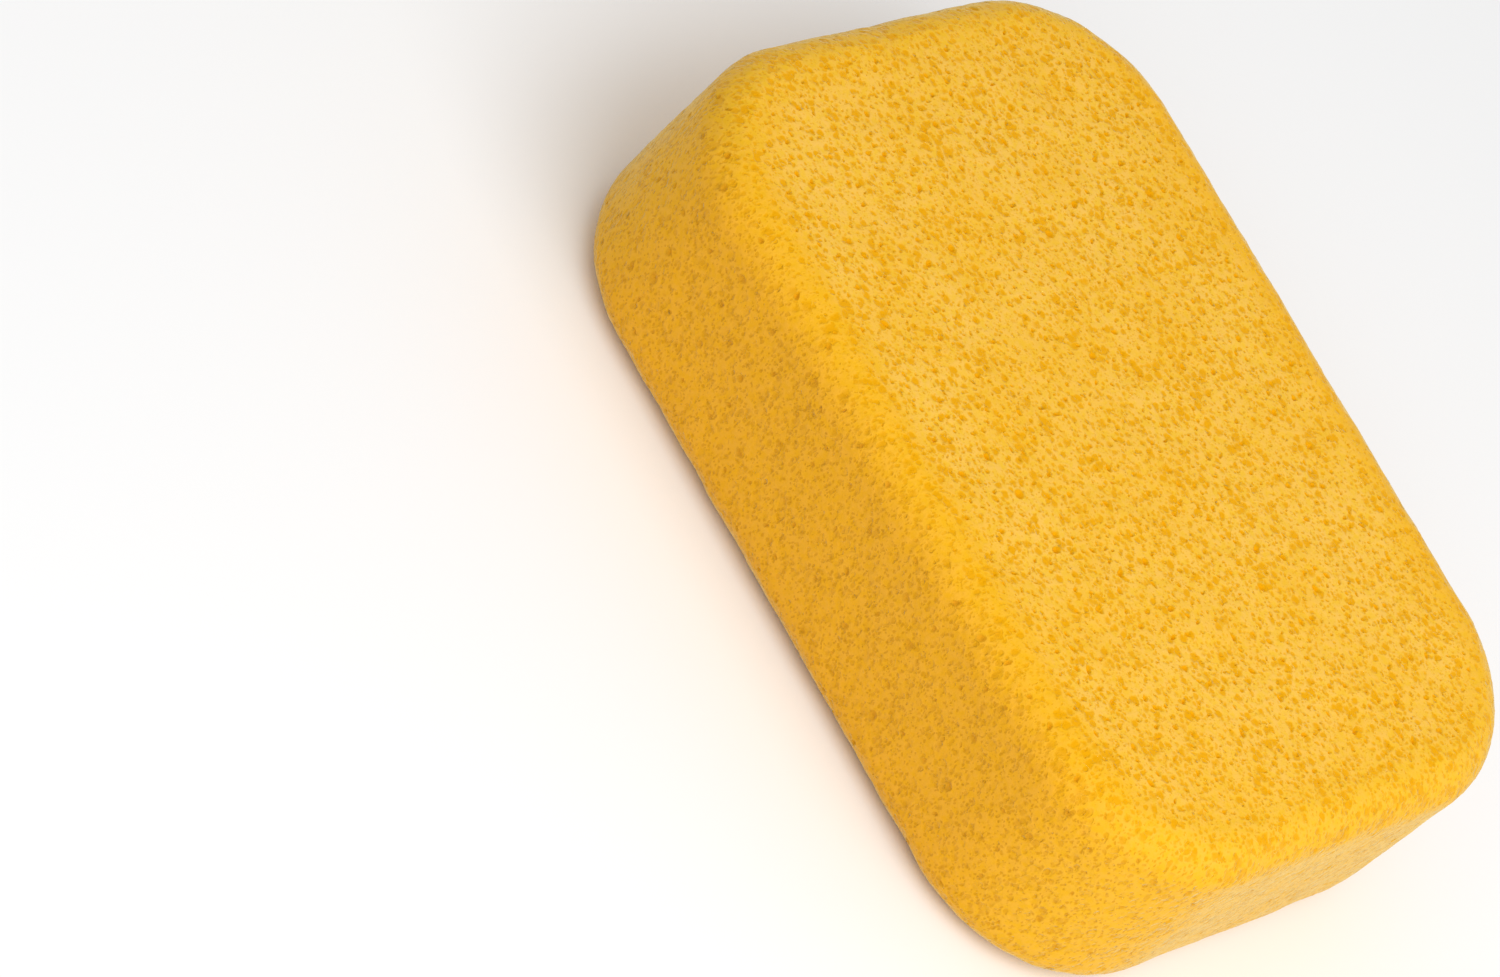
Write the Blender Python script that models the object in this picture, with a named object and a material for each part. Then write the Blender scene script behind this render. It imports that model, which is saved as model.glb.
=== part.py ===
# Grout sponge: one block of open-celled foam with rounded corners, rolled edges and open pores.
# It lies on one large face, long side along X. The origin is under its middle, on what it rests on.
# The skin is drawn flat, as two large faces and one band round the walls, and then wrapped on the block.

import math
import random

import bmesh
import bpy
from mathutils import Vector
from mathutils.geometry import delaunay_2d_cdt

# Block
LENGTH = 0.1905
WIDTH = 0.13335
THICKNESS = 0.0508
CORNER_RADIUS = 0.036  # of the block seen from above, at its walls
EDGE_RADIUS = 0.0088  # of the rolled edges between the walls and the two large faces

# Open pores: the widest of those that the foam has
PORE_COUNT = 780
NARROWEST_PORE = 0.0017
WIDEST_PORE = 0.0032
PORE_GAP = 0.0008  # least foam left between two pores
DEPTH_TO_WIDTH = 0.3
LONGEST_STRETCH = 1.45  # length to width of the longest pores
RIM_WAVER = 0.14  # how far a rim strays from an oval, as a share
REST_SPOT = 0.005  # radius left whole in the middle of each large face
PLACES_TRIED = 12  # for each pore, of which the emptiest is taken
SEED = 7

# Fineness of the facets
CORNER_STEPS = 9
EDGE_STEPS = 4
STRAIGHT_STEP = 0.015
WALL_STEP = 0.017
PORE_SIDES = (5, 7)  # of the narrow pores and of the wide ones
SAME_POINT = 1e-6

# Foam
FOAM_COLOUR = (0.90, 0.50, 0.045, 1.0)
FOAM_ROUGHNESS = 0.85

# Sizes that follow
CORNER_ARC = CORNER_RADIUS * math.pi / 2
EDGE_ARC = EDGE_RADIUS * math.pi / 2
WALL_HEIGHT = THICKNESS - 2 * EDGE_RADIUS
BAND_HEIGHT = WALL_HEIGHT + 2 * EDGE_ARC
HALF_RUNS = (LENGTH / 2 - CORNER_RADIUS, WIDTH / 2 - CORNER_RADIUS)
GIRTH = 4 * (sum(HALF_RUNS) + CORNER_ARC)
FACE_RADIUS = CORNER_RADIUS - EDGE_RADIUS  # of the flat part of a large face, at its corners
FACE_AREA = 4 * (HALF_RUNS[0] + FACE_RADIUS) * (HALF_RUNS[1] + FACE_RADIUS) - (4 - math.pi) * FACE_RADIUS**2
BAND_AREA = GIRTH * BAND_HEIGHT


def wall_line(distance):
    """Point and outward direction on the wall line seen from above, from where its +X end starts."""
    for quarter in range(4):
        facing = quarter * math.pi / 2
        outward = Vector((math.cos(facing), math.sin(facing)))
        along = Vector((-outward.y, outward.x))
        reach, half_run = HALF_RUNS if quarter % 2 == 0 else HALF_RUNS[::-1]
        corner = outward * reach + along * half_run
        if distance <= 2 * half_run:
            return corner + outward * CORNER_RADIUS + along * (distance - 2 * half_run), outward
        distance -= 2 * half_run
        if distance <= CORNER_ARC or quarter == 3:
            turned = facing + distance / CORNER_RADIUS
            outward = Vector((math.cos(turned), math.sin(turned)))
            return corner + outward * CORNER_RADIUS, outward
        distance -= CORNER_ARC


def wall_section(height):
    """Inset, level and upward tilt of the skin, at a height on the band from the lower face."""
    if height < EDGE_ARC:
        tilt = height / EDGE_RADIUS - math.pi / 2
        return EDGE_RADIUS * (1 - math.cos(tilt)), EDGE_RADIUS * (1 + math.sin(tilt)), tilt
    if height <= EDGE_ARC + WALL_HEIGHT:
        return 0.0, EDGE_RADIUS + height - EDGE_ARC, 0.0
    tilt = (height - EDGE_ARC - WALL_HEIGHT) / EDGE_RADIUS
    level = THICKNESS - EDGE_RADIUS * (1 - math.sin(tilt))
    return EDGE_RADIUS * (1 - math.cos(tilt)), level, tilt


def band_place(place, depth):
    """A point of the band, wrapped on the walls and pushed into the foam by its depth."""
    line, outward = wall_line(place.x)
    inset, level, tilt = wall_section(place.y)
    across = line - outward * (inset + depth * math.cos(tilt))
    return Vector((across.x, across.y, level - depth * math.sin(tilt)))


def top_place(place, depth):
    return Vector((place.x, place.y, THICKNESS - depth))


def bottom_place(place, depth):
    return Vector((place.x, place.y, depth))


def line_stations():
    """Distances along the wall line at which the band has a vertex: even steps on each run and arc."""
    stations = [0.0]
    for quarter in range(4):
        run = 2 * HALF_RUNS[1 - quarter % 2]
        run_steps = max(1, round(run / STRAIGHT_STEP))
        for length, steps in ((run, run_steps), (CORNER_ARC, CORNER_STEPS)):
            start = stations[-1]
            stations += [start + length * step / steps for step in range(1, steps + 1)]
    return stations


def section_stations():
    """Heights on the band at which it has a vertex."""
    edge = [EDGE_ARC * step / EDGE_STEPS for step in range(EDGE_STEPS + 1)]
    wall_steps = max(1, round(WALL_HEIGHT / WALL_STEP))
    wall = [EDGE_ARC + WALL_HEIGHT * step / wall_steps for step in range(1, wall_steps)]
    return edge + wall + [BAND_HEIGHT - height for height in reversed(edge)]


def room_on_face(place):
    """Distance from a place on a large face to the rolled edge or the spot left whole."""
    corner = Vector((max(abs(place.x) - HALF_RUNS[0], 0), max(abs(place.y) - HALF_RUNS[1], 0)))
    return min(FACE_RADIUS - corner.length, place.length - REST_SPOT)


def room_on_band(place):
    return min(place.x, GIRTH - place.x, place.y, BAND_HEIGHT - place.y)


def scattered_pores(count, low, high, room, chance):
    """(centre, width) of pores spread over a flat drawing from low to high, each where it has most room."""
    pores = []
    for _ in range(count):
        width = chance.triangular(NARROWEST_PORE, WIDEST_PORE, NARROWEST_PORE)
        best, best_room = None, PORE_GAP
        for _ in range(PLACES_TRIED):
            place = Vector((chance.uniform(low.x, high.x), chance.uniform(low.y, high.y)))
            gaps = [(place - centre).length - other / 2 for centre, other in pores]
            free = min([room(place)] + gaps) - width / 2
            if free > best_room:
                best, best_room = place, free
        if best:
            pores.append((best, width))
    return pores


def pore_rim(centre, width, chance):
    """Corners of a pore's rim: a wavering oval, turned at random and no wider than its width."""
    sides = PORE_SIDES[width > (NARROWEST_PORE + WIDEST_PORE) / 2]
    turn = chance.uniform(0, math.pi)
    long_way = Vector((math.cos(turn), math.sin(turn)))
    short_way = Vector((-long_way.y, long_way.x)) / chance.uniform(1, LONGEST_STRETCH)
    for side in range(sides):
        angle = 2 * math.pi * side / sides
        reach = width / 2 * (1 - chance.uniform(0, RIM_WAVER))
        yield centre + (long_way * math.cos(angle) + short_way * math.sin(angle)) * reach


def open_runs(height, stations, pores):
    """Stretches of a level row round the band that pass outside every pore, as lists of distances."""
    blocked = [(GIRTH, GIRTH)]
    for centre, width in pores:
        reach, rise = (width + PORE_GAP) / 2, abs(centre.y - height)
        if rise < reach:
            half = math.sqrt(reach**2 - rise**2)
            blocked.append((centre.x - half, centre.x + half))
    runs, start = [], 0.0
    for low, high in sorted(blocked):
        if low - start > PORE_GAP:
            inner = [station for station in stations if start + PORE_GAP < station < low - PORE_GAP]
            runs.append([start] + inner + [low])
        start = high
    return runs


def add_skin(skin, border, runs, pores, wrap, outside_up, chance):
    """Triangulates a flat drawing with its pores and level runs, and adds it wrapped on the block."""
    places = list(border)
    depths = [0.0] * len(places)
    lines = []
    for centre, width in pores:
        first = len(places)
        places += pore_rim(centre, width, chance)
        last = len(places) - 1
        lines += [(corner, corner + 1) for corner in range(first, last)] + [(last, first)]
        places.append(centre)
        depths += [0.0] * (last + 1 - first) + [width * DEPTH_TO_WIDTH]
    for run in runs:
        first = len(places)
        places += run
        depths += [0.0] * len(run)
        lines += [(corner, corner + 1) for corner in range(first, len(places) - 1)]
    drawn, _, faces, sources, _, _ = delaunay_2d_cdt(
        places, lines, [list(range(len(border)))], 1, SAME_POINT
    )
    corners = [skin.verts.new(wrap(place, depths[source[0]])) for place, source in zip(drawn, sources)]
    for face in faces:
        skin.faces.new([corners[corner] for corner in (face if outside_up else face[::-1])])


def sponge_mesh():
    chance = random.Random(SEED)
    skin = bmesh.new()
    stations, heights = line_stations(), section_stations()

    pores_per_area = PORE_COUNT / (2 * FACE_AREA + BAND_AREA)

    # The two large faces, whose border is the inner side of the rolled edge
    border = []
    for station in stations[:-1]:
        line, outward = wall_line(station)
        border.append(line - outward * EDGE_RADIUS)
    high = Vector((LENGTH / 2, WIDTH / 2))
    for wrap, outside_up in ((top_place, True), (bottom_place, False)):
        pores = scattered_pores(round(pores_per_area * FACE_AREA), -high, high, room_on_face, chance)
        add_skin(skin, border, [], pores, wrap, outside_up, chance)

    # The band round the walls, which meets itself on the +X end
    border = [Vector((station, 0.0)) for station in stations]
    border += [Vector((GIRTH, height)) for height in heights[1:]]
    border += [Vector((station, BAND_HEIGHT)) for station in reversed(stations[:-1])]
    border += [Vector((0.0, height)) for height in reversed(heights[1:-1])]
    low, high = Vector((0.0, 0.0)), Vector((GIRTH, BAND_HEIGHT))
    pores = scattered_pores(round(pores_per_area * BAND_AREA), low, high, room_on_band, chance)
    runs = []
    for height in heights[1:-1]:
        runs += [[Vector((spot, height)) for spot in run] for run in open_runs(height, stations, pores)]
    add_skin(skin, border, runs, pores, band_place, True, chance)

    bmesh.ops.remove_doubles(skin, verts=skin.verts, dist=SAME_POINT)
    mesh = bpy.data.meshes.new("sponge")
    skin.to_mesh(mesh)
    skin.free()
    mesh.shade_smooth()
    return mesh


def foam_material():
    foam = bpy.data.materials.new("yellow_foam")
    foam.use_nodes = True
    shader = foam.node_tree.nodes["Principled BSDF"]
    shader.inputs["Base Color"].default_value = FOAM_COLOUR
    shader.inputs["Roughness"].default_value = FOAM_ROUGHNESS
    shader.inputs["Metallic"].default_value = 0.0
    return foam


for leftover in list(bpy.data.objects):
    bpy.data.objects.remove(leftover, do_unlink=True)

sponge = bpy.data.objects.new("sponge", sponge_mesh())
sponge.data.materials.append(foam_material())
bpy.context.scene.collection.objects.link(sponge)
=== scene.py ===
import math
import random

import bpy
import numpy as np
from mathutils import Matrix, Vector, noise
from mathutils.geometry import delaunay_2d_cdt


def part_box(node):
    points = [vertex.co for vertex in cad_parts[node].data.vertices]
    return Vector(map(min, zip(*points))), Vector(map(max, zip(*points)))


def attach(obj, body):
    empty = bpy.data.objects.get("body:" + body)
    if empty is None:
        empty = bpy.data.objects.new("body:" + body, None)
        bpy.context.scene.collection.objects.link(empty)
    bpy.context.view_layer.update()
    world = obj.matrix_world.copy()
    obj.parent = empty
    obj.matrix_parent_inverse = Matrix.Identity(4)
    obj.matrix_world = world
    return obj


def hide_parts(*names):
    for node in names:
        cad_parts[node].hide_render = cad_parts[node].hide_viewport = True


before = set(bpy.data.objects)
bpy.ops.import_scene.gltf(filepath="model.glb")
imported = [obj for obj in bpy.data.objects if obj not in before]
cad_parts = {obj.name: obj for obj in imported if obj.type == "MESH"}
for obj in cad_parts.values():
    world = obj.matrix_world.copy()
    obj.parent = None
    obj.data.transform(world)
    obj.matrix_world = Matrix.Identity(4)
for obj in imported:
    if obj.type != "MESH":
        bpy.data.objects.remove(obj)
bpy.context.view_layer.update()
print("frame loaded")

boxLow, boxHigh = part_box("sponge")
blockSize = boxHigh - boxLow
blockMiddle = (boxLow + boxHigh) / 2


# Form of the block. Its skin is drawn flat, as two large faces and one band round the walls,
# and then wrapped.

block = {
    "cornerRadius": 0.036,  # seen from above, at the walls
    "edgeRadius": 0.0088,  # where the walls roll into the large faces
    "pitFrom": 0.0003,  # a point of the solid deeper than this is the bottom of a pore
    "depthToWidth": 0.3,  # of the solid's pores
    "placeDigits": 5,  # decimals that tell the bottom of one pore from that of another
}

roundingSlack = 1e-6  # what rounding may take from a length or a share
cornerRadius, edgeRadius = block["cornerRadius"], block["edgeRadius"]
runX = blockSize.x / 2 - cornerRadius
runY = blockSize.y / 2 - cornerRadius
cornerArc = cornerRadius * math.pi / 2
edgeArc = edgeRadius * math.pi / 2
wallHeight = blockSize.z - 2 * edgeRadius
bandHeight = wallHeight + 2 * edgeArc
girth = 4 * (runX + runY + cornerArc)
faceRadius = cornerRadius - edgeRadius  # of a large face's flat part, at its corners
faceHigh = Vector((runX + faceRadius, runY + faceRadius))


# facing, outward and along directions, reach and half run of one quarter of the wall line
def quarterOfLine(number):
    facing = number * math.pi / 2
    outward = Vector((math.cos(facing), math.sin(facing)))
    reach, halfRun = (runX, runY) if number % 2 == 0 else (runY, runX)
    return facing, outward, Vector((-outward.y, outward.x)), reach, halfRun


# point and outward direction on the wall line seen from above, from where its +X end starts
def wallLine(distance):
    for number in range(4):
        facing, outward, along, reach, halfRun = quarterOfLine(number)
        corner = outward * reach + along * halfRun
        if distance <= 2 * halfRun:
            return corner + outward * cornerRadius + along * (distance - 2 * halfRun), outward
        distance -= 2 * halfRun
        if distance <= cornerArc or number == 3:
            turned = facing + distance / cornerRadius
            outward = Vector((math.cos(turned), math.sin(turned)))
            return corner + outward * cornerRadius, outward
        distance -= cornerArc


# inset, level and upward tilt of the skin, at a height on the band from the lower face
def wallSection(height):
    if height < edgeArc:
        tilt = height / edgeRadius - math.pi / 2
        return edgeRadius * (1 - math.cos(tilt)), edgeRadius * (1 + math.sin(tilt)), tilt
    if height <= edgeArc + wallHeight:
        return 0.0, edgeRadius + height - edgeArc, 0.0
    tilt = (height - edgeArc - wallHeight) / edgeRadius
    level = blockSize.z - edgeRadius * (1 - math.sin(tilt))
    return edgeRadius * (1 - math.cos(tilt)), level, tilt


# point and outward direction on the block, of a place on the band's drawing
def wrapBand(place):
    line, outward = wallLine(min(max(place.x, 0.0), girth))
    inset, level, tilt = wallSection(place.y)
    across = line - outward * inset
    facing = outward * math.cos(tilt)
    return Vector((across.x, across.y, level)), Vector((facing.x, facing.y, math.sin(tilt)))


def wrapTop(place):
    return Vector((place.x, place.y, blockSize.z)), Vector((0.0, 0.0, 1.0))


def wrapBottom(place):
    return Vector((place.x, place.y, 0.0)), Vector((0.0, 0.0, -1.0))


# which drawing a point at or under the skin belongs to, its place there and its depth
def unwrap(point):
    beyond = Vector((max(abs(point.x) - runX, 0.0), max(abs(point.y) - runY, 0.0)))
    across = beyond.length
    if across < faceRadius:
        high = point.z > blockSize.z / 2
        return ("top" if high else "bottom"), point.to_2d(), min(point.z, blockSize.z - point.z)
    beyond = Vector((math.copysign(beyond.x, point.x), math.copysign(beyond.y, point.y)))
    angle = math.atan2(beyond.y, beyond.x) % (2 * math.pi)
    number = int(angle / (math.pi / 2) + roundingSlack) % 4
    distance = sum(2 * quarterOfLine(earlier)[-1] + cornerArc for earlier in range(number))
    facing, _, along, _, halfRun = quarterOfLine(number)
    distance += halfRun + min(point.to_2d().dot(along), halfRun) + (angle - facing) * cornerRadius
    inset = cornerRadius - across
    fromEdge = min(point.z, blockSize.z - point.z)
    if fromEdge >= edgeRadius:
        return "band", Vector((distance, edgeArc + point.z - edgeRadius)), inset
    toSkin = Vector((edgeRadius - inset, edgeRadius - fromEdge))
    height = math.atan2(toSkin.x, toSkin.y) * edgeRadius
    if point.z > blockSize.z / 2:
        height = bandHeight - height
    return "band", Vector((distance, height)), edgeRadius - toSkin.length


# Sheet on which the drawings lie side by side, as the piece's UV map. The band is cut in three
# strips there.

sheet = {"margin": 0.004}

margin = sheet["margin"]
firstStrip = 2 * faceHigh.x - margin
otherStrip = (girth - firstStrip) / 2
sheetSide = max(4 * faceHigh.y + bandHeight, 2 * faceHigh.x + 2 * bandHeight) + 4 * margin


# where a face's corner lies on the sheet; on the band, the face's middle tells the strip
def layTop(place, middle):
    return Vector((margin + faceHigh.y - place.y, margin + faceHigh.x + place.x)) / sheetSide


def layBottom(place, middle):
    return Vector((2 * margin + 3 * faceHigh.y + place.y, margin + faceHigh.x + place.x)) / sheetSide


def layBand(place, middle):
    if middle.x < firstStrip:
        across = 3 * margin + 4 * faceHigh.y + bandHeight
        return Vector((across - place.y, margin + place.x)) / sheetSide
    row = 0 if middle.x < firstStrip + otherStrip else 1
    start = firstStrip + row * otherStrip
    low = 2 * margin + 2 * faceHigh.x + row * (bandHeight + margin)
    return Vector((margin + place.x - start, low + place.y)) / sheetSide


# Pores. The widest are the solid's, and the rest are scattered between them.

pores = {
    "seed": 21,
    "count": 8600,
    "narrowest": (0.0011, 0.0009),  # on the large faces, and on the walls
    "meanBeyond": (0.0005, 0.0003),  # how much wider than the narrowest, on average
    "widest": (0.0023, 0.0017),
    "depth": ((0.26, 0.36), (0.15, 0.26)),  # to width, least and most
    "cell": 0.0036,  # no pore of the solid is wider
    "gap": 0.00018,  # least foam left between two rims
    "tries": 12,  # places tried for each pore
    "keptShare": 0.5,  # of those places, where the foam is neither crowded nor calm
    "patchSize": 0.011,  # of the crowded and the calm patches
    "patchStrength": 0.75,
    "lobes": ((2, 0.30), (3, 0.22)),  # how many times round a rim strays from an oval, and how far
    "longest": 1.7,  # length to width
    "lean": 0.5,  # how far a pore on the walls leans from upright, in radians, as a spread
    "turnStep": 15,  # degrees from one measured reach of a rim to the next
    "rimStep": 0.00080,  # length of a rim's sides
    "fewestPairs": 3,  # of sides, in a rim
    "floorShare": 0.52,  # size of the ring inside a rim, to the rim
    "floorLevel": 0.78,  # depth of that ring, to the pit
    "ringFrom": 0.0012,  # a pore narrower than this has no ring
}
skinStep = {  # from one vertex of the plain skin to the next
    "border": 0.0019,
    "face": 0.0028,
    "edge": 0.0017,
    "wall": 0.0028,
    "stray": 0.3,  # how far a vertex may lie off its place, as a share of the step
}


# wide pores of the solid, by drawing: (centre, width, depth)
def solidPores():
    found = {"top": {}, "bottom": {}, "band": {}}
    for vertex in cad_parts["sponge"].data.vertices:
        drawing, place, depth = unwrap(vertex.co)
        if depth > block["pitFrom"]:
            key = tuple(round(part, block["placeDigits"]) for part in place)
            found[drawing][key] = (place, depth / block["depthToWidth"], depth)
    return {drawing: list(bottoms.values()) for drawing, bottoms in found.items()}


# distance from a place on a drawing to its border
def roomOnFace(place):
    corner = Vector((max(abs(place.x) - runX, 0.0), max(abs(place.y) - runY, 0.0)))
    return faceRadius - corner.length


def roomOnBand(place):
    return min(place.x, girth - place.x, place.y, bandHeight - place.y)


# how far a place lies past the border of a flat face, less than 0 inside it
def pastOnFace(place):
    return -roomOnFace(place)


def pastOnBand(place):
    return min(place.y, bandHeight - place.y)


# the pores on one flat drawing, found by their place
class PoreField:
    def __init__(self, room, wide):
        self.room = room
        self.cell = pores["cell"]
        self.cells = {}
        self.all = []
        for pore in wide:
            self.add(*pore)

    def near(self, place):
        column, row = int(place.x // self.cell), int(place.y // self.cell)
        for nextColumn in (column - 1, column, column + 1):
            for nextRow in (row - 1, row, row + 1):
                yield from self.cells.get((nextColumn, nextRow), ())

    def clear(self, place, reach):
        if self.room(place) < reach:
            return False
        return all((place - centre).length > reach + width / 2 for centre, width, _ in self.near(place))

    def add(self, place, width, depth):
        spot = int(place.x // self.cell), int(place.y // self.cell)
        self.cells.setdefault(spot, []).append((place, width, depth))
        self.all.append((place, width, depth))


# adds pores at random places, crowded in some patches and few in others; the shift gives a drawing
# patches of its own
def scatterPores(field, total, low, high, onWall, shift, chance):
    for _ in range((total - len(field.all)) * pores["tries"]):
        if len(field.all) >= total:
            break
        width = pores["narrowest"][onWall] + chance.expovariate(1 / pores["meanBeyond"][onWall])
        place = Vector((chance.uniform(low.x, high.x), chance.uniform(low.y, high.y)))
        patch = noise.noise(Vector((place.x, place.y, shift)) / pores["patchSize"])
        keep = chance.random() < pores["keptShare"] + pores["patchStrength"] * patch
        if keep and width < pores["widest"][onWall] and field.clear(place, width / 2 + pores["gap"]):
            field.add(place, width, width * chance.uniform(*pores["depth"][onWall]))


# how far a lobed rim reaches at an angle
def lobedReach(angle, lobes):
    return 1 + sum(share * math.cos(count * angle + start) for count, share, start in lobes)


# turn, squeeze, lobes and widest reach of a pore's outline
def poreShape(chance, upright):
    turn = chance.gauss(math.pi / 2, pores["lean"]) if upright else chance.uniform(0, math.pi)
    squeeze = 1 / chance.uniform(1, pores["longest"])
    lobes = [(count, share * chance.random(), chance.uniform(0, 2 * math.pi))
             for count, share in pores["lobes"]]
    widest = max(lobedReach(math.radians(angle), lobes) for angle in range(0, 360, pores["turnStep"]))
    return turn, squeeze, lobes, widest


# points round a pore, no further out than half its width
def poreRing(centre, width, sides, shape):
    turn, squeeze, lobes, widest = shape
    longWay = Vector((math.cos(turn), math.sin(turn)))
    shortWay = Vector((-longWay.y, longWay.x)) * squeeze
    ring = []
    for side in range(sides):
        angle = 2 * math.pi * side / sides
        reach = width / 2 * lobedReach(angle, lobes) / widest
        ring.append(centre + (longWay * math.cos(angle) + shortWay * math.sin(angle)) * reach)
    return ring


# vertices and faces of the whole skin, with each vertex's outward direction, how deep its pore is there
# and how far past the border of a flat face it lies
class Skin:
    def __init__(self):
        self.points, self.facings, self.faces, self.sheetPlaces = [], [], [], []
        self.pits, self.pasts = [], []

    def addDrawing(self, border, field, fill, wrap, lay, past, flip, chance):
        places = list(border)
        pits = [0.0] * len(places)
        lines = []
        for centre, width, depth in field.all:
            shape = poreShape(chance, wrap is wrapBand)
            sides = 2 * max(pores["fewestPairs"], round(math.pi * width / pores["rimStep"] / 2))
            rim = poreRing(centre, width, sides, shape)
            rings = [(rim, 0.0)]
            if width > pores["ringFrom"]:
                inner = [centre.lerp(point, pores["floorShare"]) for point in rim[::2]]
                rings.append((inner, pores["floorLevel"]))
            for ring, level in rings:
                first, last = len(places), len(places) + len(ring) - 1
                places += ring
                pits += [level * depth] * len(ring)
                lines += [(corner, corner + 1) for corner in range(first, last)] + [(last, first)]
            places.append(centre)
            pits.append(depth)
        for place in fill:
            if field.clear(place, pores["gap"]):
                places.append(place)
                pits.append(0.0)
        drawn, _, faces, sources, _, _ = delaunay_2d_cdt(
            places, lines, [list(range(len(border)))], 1, roundingSlack
        )
        offset = len(self.points)
        for place, source in zip(drawn, sources):
            point, facing = wrap(place)
            self.points.append(point)
            self.facings.append(facing)
            self.pits.append(pits[source[0]])
            self.pasts.append(past(place))
        for face in faces:
            corners = face[::-1] if flip else face
            middle = sum((drawn[corner] for corner in corners), Vector((0.0, 0.0))) / len(corners)
            self.faces.append([offset + corner for corner in corners])
            self.sheetPlaces += [lay(drawn[corner], middle) for corner in corners]


# starts of the even steps of about a size that fill a length
def evenSteps(length, step):
    count = max(1, round(length / step))
    return [length * number / count for number in range(count)]


# a loose grid of places for the plain skin between pores
def fillPlaces(low, high, stepX, stepY, chance):
    stray = skinStep["stray"]
    for x in evenSteps(high.x - low.x, stepX)[1:]:
        for y in evenSteps(high.y - low.y, stepY)[1:]:
            aside = Vector((chance.uniform(-stray, stray) * stepX, chance.uniform(-stray, stray) * stepY))
            yield low + Vector((x, y)) + aside


def buildSkin():
    chance = random.Random(pores["seed"])
    wide = solidPores()
    print("wide pores from the solid:", {drawing: len(found) for drawing, found in wide.items()})
    skin = Skin()
    stations = evenSteps(girth, skinStep["border"]) + [girth]
    heights = evenSteps(bandHeight, skinStep["border"]) + [bandHeight]
    faceArea = 4 * faceHigh.x * faceHigh.y - (4 - math.pi) * faceRadius**2
    poresPerArea = pores["count"] / (2 * faceArea + girth * bandHeight)

    # the two large faces
    border = []
    for station in stations[:-1]:
        line, outward = wallLine(station)
        border.append(line - outward * edgeRadius)
    total = round(poresPerArea * faceArea)
    largeFaces = (("top", wrapTop, layTop, False, 0.0), ("bottom", wrapBottom, layBottom, True, 1.0))
    for name, wrap, lay, flip, shift in largeFaces:
        field = PoreField(roomOnFace, wide[name])
        scatterPores(field, total, -faceHigh, faceHigh, False, shift, chance)
        fill = fillPlaces(-faceHigh, faceHigh, skinStep["face"], skinStep["face"], chance)
        skin.addDrawing(border, field, fill, wrap, lay, pastOnFace, flip, chance)
        print(name, "pores:", len(field.all), "vertices so far:", len(skin.points))

    # the band, which meets itself on the +X end
    border = [Vector((station, 0.0)) for station in stations]
    border += [Vector((girth, height)) for height in heights[1:]]
    border += [Vector((station, bandHeight)) for station in reversed(stations[:-1])]
    border += [Vector((0.0, height)) for height in reversed(heights[1:-1])]
    field = PoreField(roomOnBand, wide["band"])
    total = round(poresPerArea * girth * bandHeight)
    bandLow, bandHigh, shift = Vector((0.0, 0.0)), Vector((girth, bandHeight)), 2.0
    scatterPores(field, total, bandLow, bandHigh, True, shift, chance)
    fill = []
    for low, high, step in (
        (0.0, edgeArc, skinStep["edge"]),
        (edgeArc, bandHeight - edgeArc, skinStep["wall"]),
        (bandHeight - edgeArc, bandHeight, skinStep["edge"]),
    ):
        fill += fillPlaces(Vector((0.0, low)), Vector((girth, high)), skinStep["wall"], step, chance)
    skin.addDrawing(border, field, fill, wrapBand, layBand, pastOnBand, False, chance)
    print("band pores:", len(field.all), "vertices so far:", len(skin.points))
    return skin


# Node trees written as expressions

# one output of a node, on which sums and products add Math nodes
class Wire:
    def __init__(self, board, socket):
        self.board, self.socket = board, socket

    def __add__(self, other):
        return self.board.maths("ADD", self, other)

    def __sub__(self, other):
        return self.board.maths("SUBTRACT", self, other)

    def __rsub__(self, other):
        return self.board.maths("SUBTRACT", other, self)

    def __mul__(self, other):
        return self.board.maths("MULTIPLY", self, other)

    def __truediv__(self, other):
        return self.board.maths("DIVIDE", self, other)

    def __rtruediv__(self, other):
        return self.board.maths("DIVIDE", other, self)

    __radd__, __rmul__ = __add__, __mul__

    # another output of the same node
    def also(self, name):
        return Wire(self.board, self.socket.node.outputs[name])


# a node tree that is being drawn
class Board:
    def __init__(self, tree):
        self.tree = tree

    # new node: its settings, such as an operation, come before the values or wires of its sockets
    def node(self, kind, settings=None, inputs=None, output=0):
        made = self.tree.nodes.new(kind)
        for name, value in (settings or {}).items():
            setattr(made, name, value)
        for key, value in (inputs or {}).items():
            if isinstance(value, Wire):
                self.tree.links.new(value.socket, made.inputs[key])
            else:
                made.inputs[key].default_value = value
        return Wire(self, made.outputs[output])

    def maths(self, operation, *values):
        return self.node("ShaderNodeMath", {"operation": operation}, dict(enumerate(values)))

    # value carried smoothly from low-high to toLow-toHigh, and held beyond
    def ranged(self, value, low, high, toLow=0.0, toHigh=1.0):
        inputs = {0: value, 1: low, 2: high, 3: toLow, 4: toHigh}
        return self.node("ShaderNodeMapRange", {"interpolation_type": "SMOOTHSTEP"}, inputs)

    # two numbers mixed
    def between(self, share, first, second):
        return self.node("ShaderNodeMix", {"data_type": "FLOAT"}, {0: share, 2: first, 3: second})

    # two colours mixed
    def mixed(self, share, first, second, way="MIX"):
        settings = {"data_type": "RGBA", "blend_type": way}
        return self.node("ShaderNodeMix", settings, {0: share, 6: first, 7: second}, 2)

    def scaled(self, vector, scale):
        return self.node("ShaderNodeVectorMath", {"operation": "SCALE"}, {0: vector, "Scale": scale})


# Relief of the skin: pores pressed in, and the slight unevenness of cut foam. All of it goes inwards.

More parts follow.
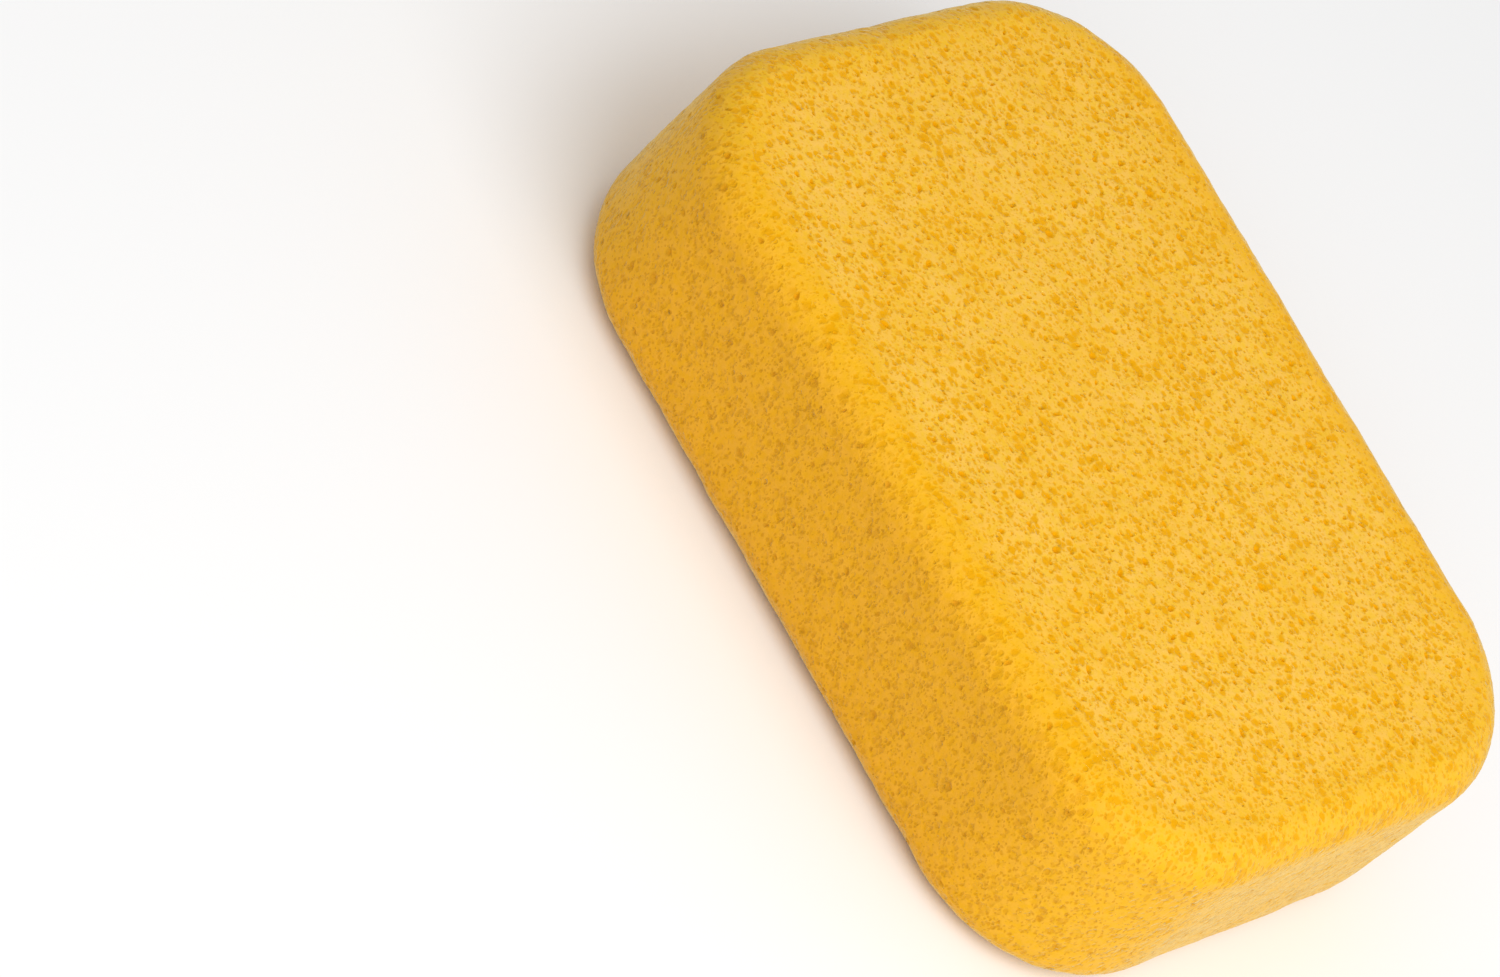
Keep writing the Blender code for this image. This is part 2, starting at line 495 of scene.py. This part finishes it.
relief = {  # inputs of the tree
    "Pit depth": 1.0,
    "Wall pit depth": 0.6,
    "Uneven by": 0.00012,
    "Uneven size": 0.0032,
    "Swell by": 0.0004,  # over the whole block
    "Swell size": 0.055,
    "Seed": 5,
    "Same point": 0.00001,
}
reliefNoise = {
    "detail": 1.0,
    "range": (0.25, 0.75),  # what of the noise becomes 0 to 1
    "swellShift": 3.7,  # from the seed of the unevenness to that of the swell
}


def foamReliefTree():
    tree = bpy.data.node_groups.new("foamRelief", "GeometryNodeTree")
    tree.is_modifier = True
    kinds = {"Skin": "NodeSocketGeometry", "Foam": "NodeSocketMaterial"}
    kinds |= {name: "NodeSocketInt" if name == "Seed" else "NodeSocketFloat" for name in relief}
    for name, kind in kinds.items():
        tree.interface.new_socket(name, in_out="INPUT", socket_type=kind)
    tree.interface.new_socket("Skin", in_out="OUTPUT", socket_type="NodeSocketGeometry")
    board = Board(tree)
    given = tree.nodes.new("NodeGroupInput")
    entry = {name: Wire(board, given.outputs[name]) for name in kinds}

    def attribute(name, kind):
        return board.node("GeometryNodeInputNamedAttribute", {"data_type": kind}, {"Name": name})

    # smooth noise from 0 to 1, with features of about a size
    def soft(size, shift):
        place = board.scaled(board.node("GeometryNodeInputPosition"), 1 / size)
        inputs = {"Vector": place, "W": shift, "Detail": reliefNoise["detail"]}
        found = board.node("ShaderNodeTexNoise", {"noise_dimensions": "4D"}, inputs)
        return board.ranged(found, *reliefNoise["range"])

    uneven = soft(entry["Uneven size"], entry["Seed"]) * entry["Uneven by"]
    swell = soft(entry["Swell size"], entry["Seed"] + reliefNoise["swellShift"]) * entry["Swell by"]
    onWall = board.ranged(attribute("past", "FLOAT"), 0.0, edgeArc)
    pitDepth = board.between(onWall, entry["Pit depth"], entry["Wall pit depth"])
    depth = attribute("pit", "FLOAT") * pitDepth + uneven + swell
    push = board.scaled(attribute("facing", "FLOAT_VECTOR"), depth * -1.0)
    inputs = {"Geometry": entry["Skin"], "Distance": entry["Same point"]}
    geometry = board.node("GeometryNodeMergeByDistance", None, inputs)
    geometry = board.node("GeometryNodeSetPosition", None, {"Geometry": geometry, "Offset": push})
    geometry = board.node("GeometryNodeRemoveAttribute", None, {"Geometry": geometry, "Name": "facing"})
    geometry = board.node("GeometryNodeSetShadeSmooth", None, {"Geometry": geometry})
    geometry = board.node("GeometryNodeRealizeInstances", None, {"Geometry": geometry})
    inputs = {"Geometry": geometry, "Material": entry["Foam"]}
    geometry = board.node("GeometryNodeSetMaterial", None, inputs)
    tree.links.new(geometry.socket, tree.nodes.new("NodeGroupOutput").inputs["Skin"])
    return tree


# the skin as a mesh with its attributes and its sheet, before the relief
def skinMesh(skin):
    mesh = bpy.data.meshes.new("sponge_skin")
    mesh.from_pydata(skin.points, [], skin.faces)
    mesh.attributes.new("pit", "FLOAT", "POINT").data.foreach_set("value", skin.pits)
    mesh.attributes.new("past", "FLOAT", "POINT").data.foreach_set("value", skin.pasts)
    facings = [part for facing in skin.facings for part in facing]
    mesh.attributes.new("facing", "FLOAT_VECTOR", "POINT").data.foreach_set("vector", facings)
    corners = [part for place in skin.sheetPlaces for part in place]
    mesh.uv_layers.new(name="OFBake").uv.foreach_set("vector", corners)
    return mesh


# Normals of the plain skin come from the skin alone, so that a pit doesn't shade what lies round it.
# Every face is a triangle.
def steadyNormals(mesh):
    points = np.zeros((len(mesh.vertices), 3), np.float32)
    mesh.vertices.foreach_get("co", points.ravel())
    corners = np.zeros((len(mesh.polygons), 3), np.int32)
    mesh.loops.foreach_get("vertex_index", corners.ravel())
    pit = np.zeros(len(mesh.vertices), np.float32)
    mesh.attributes["pit"].data.foreach_get("value", pit)
    first, second, third = (points[corners[:, side]] for side in range(3))
    faceNormals = np.cross(second - first, third - first)
    plain = (pit[corners] == 0).all(axis=1)
    normals = np.zeros_like(points)
    for side in range(3):
        counted = plain | (pit[corners[:, side]] > 0)
        np.add.at(normals, corners[counted, side], faceNormals[counted])
    normals /= np.linalg.norm(normals, axis=1, keepdims=True)
    mesh.normals_split_custom_set_from_vertices(normals)


def makeSponge(foam):
    skinObject = bpy.data.objects.new("sponge_skin", skinMesh(buildSkin()))
    bpy.context.scene.collection.objects.link(skinObject)
    modifier = skinObject.modifiers.new("foamRelief", "NODES")
    modifier.node_group = foamReliefTree()
    values = relief | {"Foam": foam}
    for item in modifier.node_group.interface.items_tree:
        if item.in_out == "INPUT" and item.name in values:
            modifier[item.identifier] = values[item.name]
    evaluated = skinObject.evaluated_get(bpy.context.evaluated_depsgraph_get())
    mesh = bpy.data.meshes.new_from_object(evaluated)
    mesh.name = "sponge_foam"
    steadyNormals(mesh)
    bpy.data.objects.remove(skinObject)
    piece = bpy.data.objects.new("sponge_foam", mesh)
    bpy.context.scene.collection.objects.link(piece)
    print("sponge:", len(mesh.vertices), "vertices,", len(mesh.polygons), "faces")
    return piece


# Yellow foam: pale skin, pits darkened to amber by painted shade, and spots of that painted shade for the
# cells that are finer than the mesh

foamLook = {
    "pale": (0.975, 0.572, 0.102, 1.0),
    "deep": (0.965, 0.542, 0.068, 1.0),  # in blotches
    # deeper, more orange tones of the rolled edges and walls: partly the foam's own, partly painted shade
    # and orange bounce light
    "edge": (0.955, 0.505, 0.033, 1.0),
    "wall": (0.950, 0.463, 0.033, 1.0),
    # painted highlight: paler tones of the edges and walls at both ends
    "endEdgePaintedHighlight": (0.945, 0.540, 0.054, 1.0),
    "endWallPaintedHighlight": (0.940, 0.500, 0.038, 1.0),
    "edgeTone": (-0.0065, 0.0025),  # how far past a flat face's border its tone, partly painted shade, begins and is whole
    "wallTone": (0.002, 0.013),
    "endPaintedHighlightRange": (0.060, 0.090),  # the same from the block's middle, lengthwise, for the painted highlight that makes its ends paler
    # painted shade in the pores: a darker, deeper amber with their depth, darker still on the walls
    "pit": (0.895, 0.415, 0.001, 1.0),
    "wallPitPaintedShade": (0.76, 0.345, 0.015, 1.0),
    "wallPits": 0.6,  # strength of the pits' painted shade on the walls
    "fullPitShadeDepth": 0.00036,  # depth at which a pit has its whole painted shade
    "pitEdge": 0.00012,  # how unevenly a pit takes its painted shade
    "blotches": (0.024, 2.0, (0.35, 0.68)),  # size and detail of their noise, and the range that counts
    "mottle": (0.0015, 4.0, (0.32, 0.68)),
    "crowds": (0.006, 1.0, (0.35, 0.65)),  # of wide spots
    "noiseRoughness": 0.6,
    "mottleTint": (0.97, 0.96, 0.38, 1.0),
    "crowdReach": (0.82, 1.12),  # reach of the spots outside a crowd and in it, to their own
    "spots": (  # size of a pattern, least and most reach of its spots, and their share of the pits' painted shade
        (0.0021, 0.18, 0.60, 1.00, 0.20),  # on the large faces, and on the walls
        (0.0012, 0.18, 0.56, 0.90, 0.55),
        (0.0007, 0.14, 0.56, 0.60, 0.85),
    ),
    "spotEdge": (0.5, 1.05),  # where a spot begins to fade and where it ends, to its reach
    "spotDepth": (0.045, 0.065),  # of its dent on the large faces and on the walls, to its pattern's size
    "spotWander": 0.0011,  # how far the patterns stray from even cells
    "spotWanderSize": 0.0014,
    "spotStretch": 0.62,  # less than 1 draws the spots out up the walls
    "grainDepth": 0.00006,
    "roughness": (0.74, 0.92),
    "sheen": 0.7,
    "sheenRoughness": 0.32,
    "sheenTint": (1.0, 1.0, 0.66, 1.0),
    "gloss": 0.05,
}


def foamMaterial():
    foam = bpy.data.materials.new("yellow_foam")
    foam.use_nodes = True
    board = Board(foam.node_tree)
    shader = foam.node_tree.nodes["Principled BSDF"]
    place = board.node("ShaderNodeTexCoord", None, None, "Object")

    def attribute(name):
        return board.node("ShaderNodeAttribute", {"attribute_name": name}, None, "Fac")

    def noiseOf(name, *reach):
        size, detail, limits = foamLook[name]
        inputs = {"Vector": place, "Scale": 1 / size, "Detail": detail}
        inputs["Roughness"] = foamLook["noiseRoughness"]
        return board.ranged(board.node("ShaderNodeTexNoise", None, inputs), *limits, *reach)

    # where on the block
    past = attribute("past")
    onEdge = board.ranged(past, *foamLook["edgeTone"])
    onWall = board.ranged(past, *foamLook["wallTone"])
    lengthwise = board.node("ShaderNodeSeparateXYZ", None, {0: place})
    # painted highlight: towards both ends, lengthwise, the edges and walls turn paler
    onEndPaintedHighlight = board.ranged(board.maths("ABSOLUTE", lengthwise), *foamLook["endPaintedHighlightRange"])

    # tones of the skin, with partly painted shade in the deeper tones of the edges and walls and a
    # painted highlight at the ends, and the pits' painted shade
    colour = board.mixed(noiseOf("blotches"), foamLook["pale"], foamLook["deep"])
    colour = board.mixed(onEdge, colour, board.mixed(onEndPaintedHighlight, foamLook["edge"], foamLook["endEdgePaintedHighlight"]))
    colour = board.mixed(onWall, colour, board.mixed(onEndPaintedHighlight, foamLook["wall"], foamLook["endWallPaintedHighlight"]))
    # painted shade of the pits, darker on the walls
    pit = board.mixed(onWall, foamLook["pit"], foamLook["wallPitPaintedShade"])

    # spots of painted pore shade for finer cells, in patterns that wander and are drawn out up the walls
    inputs = {"Vector": place, "Scale": 1 / foamLook["spotWanderSize"]}
    wander = board.node("ShaderNodeTexNoise", None, inputs, "Color")
    inputs = {0: wander, 1: (foamLook["spotWander"],) * 3, 2: place}
    wandered = board.node("ShaderNodeVectorMath", {"operation": "MULTIPLY_ADD"}, inputs)
    inputs = {0: wandered, 1: (1.0, 1.0, foamLook["spotStretch"])}
    stretched = board.node("ShaderNodeVectorMath", {"operation": "MULTIPLY"}, inputs)
    crowd = noiseOf("crowds", *foamLook["crowdReach"])
    mottle = noiseOf("mottle")
    dent = board.between(onWall, *foamLook["spotDepth"])
    height = mottle * foamLook["grainDepth"]
    for size, least, most, share, wallShare in foamLook["spots"]:
        found = board.node("ShaderNodeTexVoronoi", None, {"Vector": stretched, "Scale": 1 / size})
        draw = board.node("ShaderNodeSeparateColor", None, {0: found.also("Color")}, "Red")
        ratio = found / (board.ranged(draw, 0.0, 1.0, least, most) * crowd)
        spot = board.ranged(ratio, *foamLook["spotEdge"], 1.0, 0.0)
        colour = board.mixed(spot * board.between(onWall, share, wallShare), colour, pit)
        height = height - spot * dent * size

    # fine mottle, and painted shade in the pores of the mesh, growing with their depth
    colour = board.mixed(1 - mottle, colour, foamLook["mottleTint"], "MULTIPLY")
    depth = attribute("pit") + (mottle - 0.5) * foamLook["pitEdge"]
    strength = board.between(onWall, 1.0, foamLook["wallPits"])
    colour = board.mixed(board.ranged(depth, 0.0, foamLook["fullPitShadeDepth"]) * strength, colour, pit)

    bump = board.node("ShaderNodeBump", None, {"Height": height, "Distance": 1.0, "Strength": 1.0})
    low, high = foamLook["roughness"]
    links = {"Base Color": colour, "Roughness": board.ranged(mottle, 0.0, 1.0, high, low), "Normal": bump}
    for name, wire in links.items():
        foam.node_tree.links.new(wire.socket, shader.inputs[name])
    shader.inputs["Sheen Weight"].default_value = foamLook["sheen"]
    shader.inputs["Sheen Roughness"].default_value = foamLook["sheenRoughness"]
    shader.inputs["Sheen Tint"].default_value = foamLook["sheenTint"]
    shader.inputs["Specular IOR Level"].default_value = foamLook["gloss"]
    return foam


sponge = makeSponge(foamMaterial())
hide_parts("sponge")
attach(sponge, "root")
print("sponge in place")


# Studio: a white floor, an even sky, and one large soft lamp over the +X end

studio = {
    "floorSize": 12.0,
    "floorColour": (0.80, 0.80, 0.80, 1.0),  # in the light that it throws on the sponge
    "floorSeen": (1.0, 1.0, 1.0, 1.0),  # by the camera and in reflections
    "skyStrength": 0.59,
    "skySeen": 1.0,
    "lampFrom": (0.60, -0.32, 0.76),
    "lampDistance": 1.05,
    "lampSize": 1.1,
    "lampPower": 8.0,
}


# 1 for what the camera sees, straight or in reflections or glass, and 0 for other light
def seenByCamera(board):
    names = ("Is Camera Ray", "Is Glossy Ray", "Is Transmission Ray")
    camera, glossy, glass = (board.node("ShaderNodeLightPath", None, None, name) for name in names)
    return board.maths("MAXIMUM", board.maths("MAXIMUM", camera, glossy), glass)


def makeFloor():
    half = studio["floorSize"] / 2
    corners = [(-half, -half, 0), (half, -half, 0), (half, half, 0), (-half, half, 0)]
    mesh = bpy.data.meshes.new("floor")
    mesh.from_pydata(corners, [], [(0, 1, 2, 3)])
    paint = bpy.data.materials.new("white_floor")
    paint.use_nodes = True
    board = Board(paint.node_tree)
    colour = board.mixed(seenByCamera(board), studio["floorColour"], studio["floorSeen"])
    shader = paint.node_tree.nodes["Principled BSDF"]
    paint.node_tree.links.new(colour.socket, shader.inputs["Base Color"])
    shader.inputs["Roughness"].default_value = 1.0
    shader.inputs["Specular IOR Level"].default_value = 0.0
    mesh.materials.append(paint)
    floor = bpy.data.objects.new("floor", mesh)
    bpy.context.scene.collection.objects.link(floor)


def makeSky():
    sky = bpy.data.worlds.new("sky")
    sky.use_nodes = True
    board = Board(sky.node_tree)
    strength = board.between(seenByCamera(board), studio["skyStrength"], studio["skySeen"])
    background = sky.node_tree.nodes["Background"]
    background.inputs["Color"].default_value = (1.0, 1.0, 1.0, 1.0)
    sky.node_tree.links.new(strength.socket, background.inputs["Strength"])
    bpy.context.scene.world = sky


def makeLamp():
    light = bpy.data.lights.new("softLamp", "AREA")
    light.size, light.energy = studio["lampSize"], studio["lampPower"]
    direction = Vector(studio["lampFrom"]).normalized()
    lamp = bpy.data.objects.new("softLamp", light)
    lamp.location = blockMiddle + direction * studio["lampDistance"]
    lamp.rotation_euler = direction.to_track_quat("Z", "Y").to_euler()
    bpy.context.scene.collection.objects.link(lamp)


# Camera: where the photograph was taken from, found from the outline of the block

shot = {
    "turn": -72.434,  # degrees from +X, of the way from the block to the camera
    "rise": 41.763,  # degrees above the floor
    "roll": -48.446,  # degrees
    "distance": 1.26404,
    "lens": 153.01,  # millimetres, as the sensor is
    "sensor": 36.0,
    "imageSize": (1500, 977),
    "blockPixel": (1047.57, 474.84),  # where the block's middle lies in the picture
}


def makeCamera():
    turn, rise, roll = (math.radians(shot[name]) for name in ("turn", "rise", "roll"))
    toCamera = Vector((math.cos(rise) * math.cos(turn), math.cos(rise) * math.sin(turn), math.sin(rise)))
    levelUp = (Vector((0, 0, 1)) - toCamera * toCamera.z).normalized()
    levelRight = levelUp.cross(toCamera)
    right = levelRight * math.cos(roll) - levelUp * math.sin(roll)
    up = levelRight * math.sin(roll) + levelUp * math.cos(roll)
    width, height = shot["imageSize"]
    perPixel = shot["distance"] * shot["sensor"] / shot["lens"] / width
    aside = (shot["blockPixel"][0] - width / 2) * perPixel
    above = (height / 2 - shot["blockPixel"][1]) * perPixel
    data = bpy.data.cameras.new("camera")
    data.lens, data.sensor_width = shot["lens"], shot["sensor"]
    camera = bpy.data.objects.new("camera", data)
    axes = Matrix((right, up, toCamera)).transposed().to_4x4()
    axes.translation = blockMiddle - right * aside - up * above + toCamera * shot["distance"]
    camera.matrix_world = axes
    bpy.context.scene.collection.objects.link(camera)
    bpy.context.scene.camera = camera


makeFloor()
makeSky()
makeLamp()
makeCamera()
bpy.context.scene.view_settings.view_transform = "Standard"
print("studio and camera in place")
